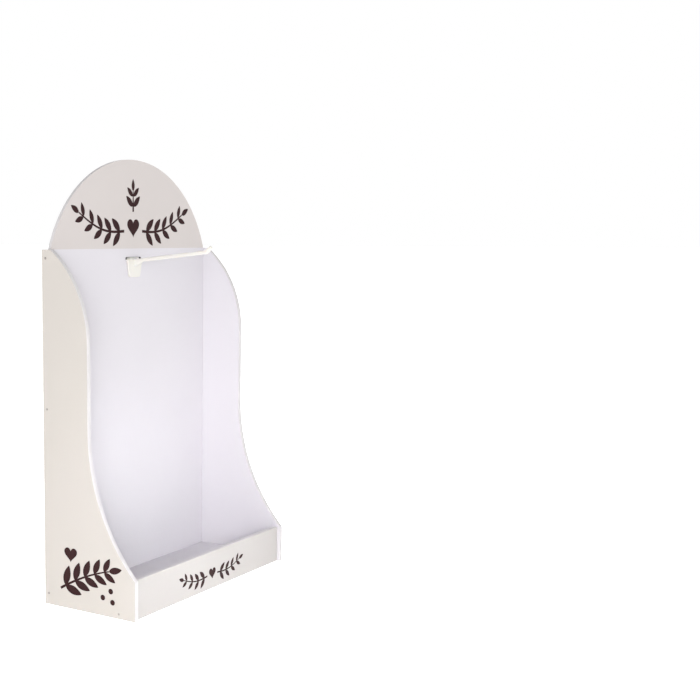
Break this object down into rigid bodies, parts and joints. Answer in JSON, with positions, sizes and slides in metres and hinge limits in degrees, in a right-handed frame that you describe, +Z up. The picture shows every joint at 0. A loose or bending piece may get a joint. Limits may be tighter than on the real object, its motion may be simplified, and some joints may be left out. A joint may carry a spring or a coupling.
{
  "type": "counter display stand",
  "caption": "Open counter display stand of white foam board: curved side boards, arched header, front lip, floor and a peg hook through the back.",
  "frame": {"origin": "middle of the footprint, on the surface the stand rests on", "axes": "+Z up, -Y towards the open front and the lip, +X to the viewer's right when facing the front"},
  "size_m": [0.2666, 0.104, 0.4165],
  "materials": {
    "cream_board": "matt PVC foam board with a cream printed face and bare white edges",
    "header_board": "matt PVC foam board, printed warm grey on the header and bare white below",
    "white_board": "bare matt white PVC foam board",
    "hook_plastic": "satin ivory moulded plastic",
    "brad_steel": "plain steel brad heads",
    "print_ink": "flat dark brown print"
  },
  "bodies": {
    "root": {"left_side_panel": "cream_board", "right_side_panel": "cream_board", "back_panel": "header_board", "floor_panel": "white_board", "front_lip": "cream_board", "display_hook": "hook_plastic", "brad_left_rear_top": "brad_steel", "brad_left_rear_middle": "brad_steel", "brad_left_rear_low": "brad_steel", "brad_left_front_low": "brad_steel", "brad_right_rear_top": "brad_steel", "brad_right_rear_middle": "brad_steel", "brad_right_rear_low": "brad_steel", "brad_right_front_low": "brad_steel"}
  },
  "joints": []
}
